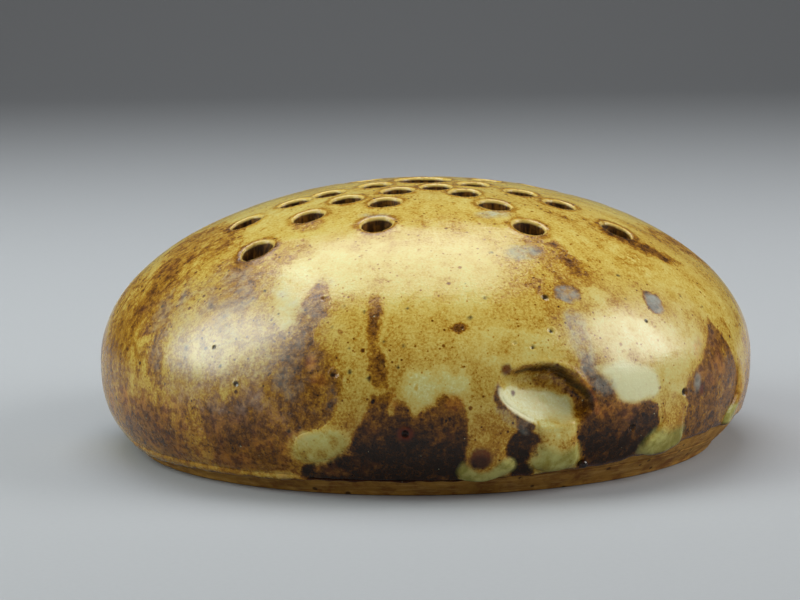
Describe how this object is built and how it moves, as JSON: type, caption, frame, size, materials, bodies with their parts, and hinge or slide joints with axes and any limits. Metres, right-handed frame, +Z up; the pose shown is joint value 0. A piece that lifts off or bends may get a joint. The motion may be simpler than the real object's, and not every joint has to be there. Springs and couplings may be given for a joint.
{
  "type": "flower holder",
  "caption": "Low pebble-shaped stoneware flower holder: a hollow glazed dome pierced with upright stem holes round a larger centre hole, on a flat bare clay foot.",
  "frame": {"origin": "middle of the flat underside, on the surface that the vessel stands on", "axes": "+Z up along the axis that the vessel was thrown on, -Y towards the front with the thumb dent right of the middle, +X to the right seen from the front"},
  "size_m": [0.15, 0.1502, 0.0598],
  "materials": {
    "glazed_stoneware": "satin ochre and dark brown glaze with rust mottling, pale lips at the holes",
    "bare_clay": "matt toasted orange-brown stoneware clay with fine grit",
    "celadon_glaze": "glossy pale green pooled glaze",
    "honey_glaze": "glossy honey yellow glaze",
    "black_glaze": "wet-looking black glass"
  },
  "bodies": {
    "root": {"pierced_dome": "glazed_stoneware", "foot_disc": "bare_clay", "glaze_run_front": "celadon_glaze", "glaze_run_dent": "celadon_glaze", "glaze_run_right": "celadon_glaze", "glaze_run_far_right": "celadon_glaze", "glaze_run_back_left": "celadon_glaze", "glaze_run_back": "celadon_glaze", "glaze_run_back_right": "celadon_glaze", "glaze_run_left": "honey_glaze", "glaze_roll_left": "honey_glaze", "glaze_pool_dent": "celadon_glaze", "glaze_drop_black": "black_glaze"}
  },
  "joints": []
}
